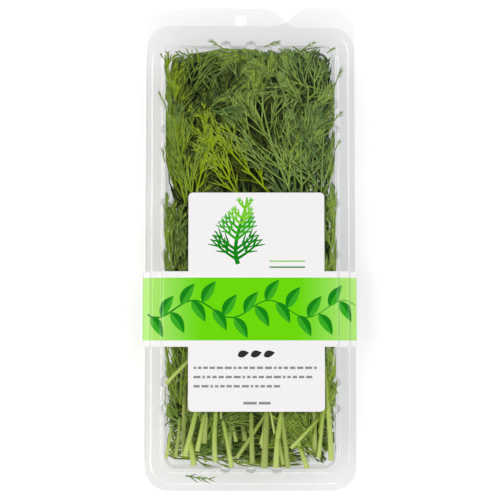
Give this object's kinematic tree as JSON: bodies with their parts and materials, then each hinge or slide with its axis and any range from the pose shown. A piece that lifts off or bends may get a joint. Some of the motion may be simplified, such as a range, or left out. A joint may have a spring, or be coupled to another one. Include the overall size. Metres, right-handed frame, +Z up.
{
  "type": "dill bunch in a hinged clamshell pack",
  "caption": "Fresh cut dill stems with feathery thread-like leaves, lying lengthwise in a clear hinged clamshell tray with a hang tab and a paper wrap label.",
  "frame": {"origin": "on the surface that the pack lies on, under the middle of its outline", "axes": "+Y along the pack towards the hang tab, +X across it towards the opening side, +Z up through the lid"},
  "size_m": [0.1052, 0.24, 0.0238],
  "materials": {
    "clear_tray": "clear thermoformed sheet, glossy",
    "clear_lid": "clear thermoformed sheet, glossy",
    "label_paper": "white coated paper with a soft sheen",
    "dill_dark": "fresh leaf, matt with a faint waxy bloom",
    "dill_mid": "fresh leaf, matt with a faint waxy bloom",
    "dill_fresh": "fresh leaf, matt with a faint waxy bloom",
    "dill_light": "fresh leaf, matt with a faint waxy bloom"
  },
  "bodies": {
    "tray": {"tray": "clear_tray", "label_fold_opening": "label_paper", "label_fold_hinge": "label_paper", "dill_sprig_01": "dill_dark", "dill_sprig_02": "dill_mid", "dill_sprig_03": "dill_fresh", "dill_sprig_04": "dill_light", "dill_sprig_05": "dill_dark", "dill_sprig_06": "dill_mid", "dill_sprig_07": "dill_fresh", "dill_sprig_08": "dill_light", "dill_sprig_09": "dill_dark", "dill_sprig_10": "dill_mid", "dill_sprig_11": "dill_fresh", "dill_sprig_12": "dill_light", "dill_sprig_13": "dill_dark", "dill_sprig_14": "dill_mid", "dill_sprig_15": "dill_fresh", "dill_sprig_16": "dill_light", "dill_sprig_17": "dill_dark", "dill_sprig_18": "dill_mid", "dill_sprig_19": "dill_fresh", "dill_sprig_20": "dill_light"},
    "lid": {"lid": "clear_lid", "label_front": "label_paper"}
  },
  "joints": [
    {"name": "lid_hinge", "type": "hinge", "parent": "tray", "child": "lid", "pos_m": [-0.0522, 0, 0.02], "axis": [0, -1, 0], "range_deg": [0, 180]}
  ]
}
